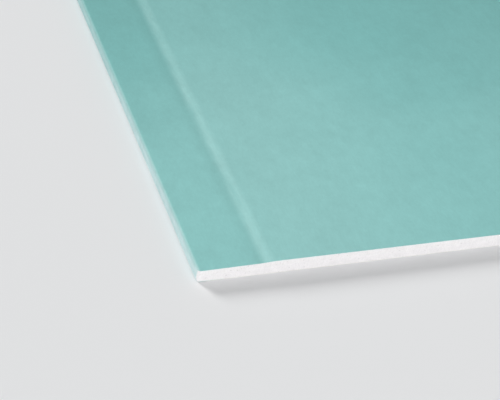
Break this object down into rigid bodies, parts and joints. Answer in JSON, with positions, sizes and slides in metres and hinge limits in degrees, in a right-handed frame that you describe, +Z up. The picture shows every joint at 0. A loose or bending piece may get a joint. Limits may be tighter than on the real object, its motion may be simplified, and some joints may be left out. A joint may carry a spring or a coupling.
{
  "type": "drywall sheet",
  "caption": "Tapered-edge moisture-resistant drywall sheet: a gypsum core wrapped in a folded green face paper over a grey back paper, for lining walls and ceilings.",
  "frame": {"origin": "middle of the underside of the back paper, where the sheet rests", "axes": "+Z up out of the face paper, +Y along the sheet between its cut ends, +X across it between its paper-wrapped tapered edges"},
  "size_m": [1.2, 2.4, 0.0125],
  "materials": {
    "gypsum": "matt white set gypsum, finely porous where it is cut",
    "green_face_paper": "matt sized paper, blue-green",
    "grey_back_paper": "matt recycled paper, pale warm grey"
  },
  "bodies": {
    "root": {"gypsum_core": "gypsum", "face_paper": "green_face_paper", "back_paper": "grey_back_paper"}
  },
  "joints": []
}
